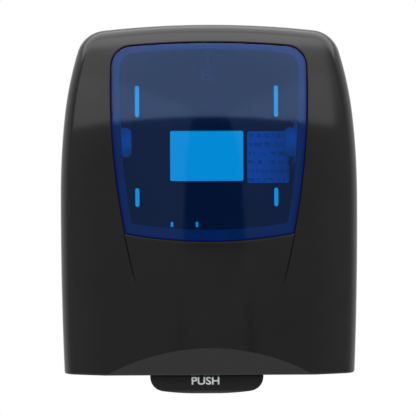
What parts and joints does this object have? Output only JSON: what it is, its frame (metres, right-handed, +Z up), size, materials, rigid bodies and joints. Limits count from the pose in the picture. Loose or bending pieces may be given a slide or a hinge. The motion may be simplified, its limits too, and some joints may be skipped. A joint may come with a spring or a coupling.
{
  "type": "push-lever roll towel dispenser",
  "caption": "Wall-mounted roll paper towel dispenser in black plastic with a bulged hinged cover, a dark blue window and a push paddle under its front edge",
  "frame": {"origin": "centre of the four wall slots on the flat wall face of the wall plate", "axes": "+X to the right seen from the front, +Y into the wall, +Z up; the front faces -Y"},
  "size_m": [0.332, 0.232, 0.4101],
  "materials": {
    "cover_black": "moulded black ABS, satin gloss",
    "window_blue": "clear dark blue moulded styrene, polished",
    "lever_black": "moulded black ABS, gloss",
    "plate_black": "moulded black styrene, fine matt grain",
    "steel": "bright stainless and plated steel",
    "zinc": "die-cast zinc, dull plated",
    "acetal": "natural acetal, waxy",
    "pale_plastic": "moulded pale grey ABS",
    "grip_rubber": "moulded rubber, matt",
    "bond_tape": "pale foam bonding tape",
    "label_vinyl": "printed vinyl sticker"
  },
  "bodies": {
    "chassis": {"wall_plate": "plate_black", "side_frame_left": "plate_black", "side_frame_right": "plate_black", "frame_screws": "steel", "paper_chute": "plate_black", "tear_rail": "plate_black", "tear_bar": "steel", "tear_bar_screws": "steel", "feed_bushes": "acetal", "lever_bushes": "acetal", "back_check_bearing": "zinc", "arm_pins": "steel", "arm_spring_left": "steel", "arm_spring_right": "steel", "lock_keeper": "zinc", "keeper_screws": "steel", "loading_label": "label_vinyl", "lever_spring": "steel", "flap_spring": "steel"},
    "cover": {"front_cover": "cover_black", "window": "window_blue", "window_tape": "bond_tape", "hinge_pins": "steel", "lock_body": "zinc", "lock_nut": "zinc"},
    "lock": {"lock_plug": "steel", "lock_cam": "zinc"},
    "lever": {"push_lever": "lever_black", "lever_shaft": "steel", "sector_gear": "acetal", "lever_clips": "steel"},
    "pinion": {"drive_pinion": "acetal", "one_way_clutch": "steel"},
    "feed_roller": {"feed_shaft": "steel", "feed_core": "plate_black", "feed_grips": "grip_rubber", "feed_knob": "pale_plastic", "feed_clip": "steel"},
    "flap": {"pinch_flap": "plate_black", "pinch_axle": "steel"},
    "pinch": {"pinch_roller": "grip_rubber"},
    "arm_left": {"roll_arm_left": "plate_black", "hub_axle_left": "steel"},
    "arm_right": {"roll_arm_right": "plate_black", "hub_axle_right": "steel"},
    "hub_left": {"roll_hub_left": "pale_plastic"},
    "hub_right": {"roll_hub_right": "pale_plastic"}
  },
  "joints": [
    {"name": "cover_hinge", "type": "hinge", "parent": "chassis", "child": "cover", "pos_m": [0, -0.034, -0.241], "axis": [1, 0, 0], "range_deg": [0, 88]},
    {"name": "lock_turn", "type": "hinge", "parent": "cover", "child": "lock", "pos_m": [0, -0.064, 0.12], "axis": [0, 0, 1], "range_deg": [0, 90]},
    {"name": "lever_push", "type": "hinge", "parent": "chassis", "child": "lever", "pos_m": [0, -0.165, -0.2], "axis": [1, 0, 0], "range_deg": [0, 28], "stiffness_Nm_per_rad": 0.8, "springref_deg": -17.19, "deforming": ["lever_spring"]},
    {"name": "pinion_turn", "type": "hinge", "parent": "chassis", "child": "pinion", "pos_m": [0, -0.09963, -0.17359], "axis": [1, 0, 0], "range_deg": [-165, 5]},
    {"name": "feed_roller_spin", "type": "hinge", "parent": "chassis", "child": "feed_roller", "pos_m": [0, -0.09963, -0.17359], "axis": [1, 0, 0], "continuous": true},
    {"name": "flap_swing", "type": "hinge", "parent": "chassis", "child": "flap", "pos_m": [0, -0.13978, -0.223], "axis": [1, 0, 0], "range_deg": [0, 14], "stiffness_Nm_per_rad": 0.5, "springref_deg": -8.59, "deforming": ["flap_spring"]},
    {"name": "pinch_roller_spin", "type": "hinge", "parent": "flap", "child": "pinch", "pos_m": [0, -0.12803, -0.17359], "axis": [1, 0, 0], "continuous": true},
    {"name": "arm_left_swing", "type": "hinge", "parent": "chassis", "child": "arm_left", "pos_m": [-0.1115, -0.016, 0.003], "axis": [0, 0, -1], "range_deg": [0, 12], "stiffness_Nm_per_rad": 0.6, "springref_deg": -8.59, "deforming": ["arm_spring_left"]},
    {"name": "arm_right_swing", "type": "hinge", "parent": "chassis", "child": "arm_right", "pos_m": [0.1115, -0.016, 0.003], "axis": [0, 0, 1], "range_deg": [0, 12], "stiffness_Nm_per_rad": 0.6, "springref_deg": -8.59, "deforming": ["arm_spring_right"]},
    {"name": "hub_left_spin", "type": "hinge", "parent": "arm_left", "child": "hub_left", "pos_m": [-0.096, -0.112, 0.003], "axis": [1, 0, 0], "continuous": true},
    {"name": "hub_right_spin", "type": "hinge", "parent": "arm_right", "child": "hub_right", "pos_m": [0.096, -0.112, 0.003], "axis": [1, 0, 0], "continuous": true}
  ],
  "couplings": [
    {"joint": "pinion_turn", "follows": "lever_push", "ratio": -5.7143},
    {"joint": "pinch_roller_spin", "follows": "feed_roller_spin", "ratio": -2.5}
  ]
}
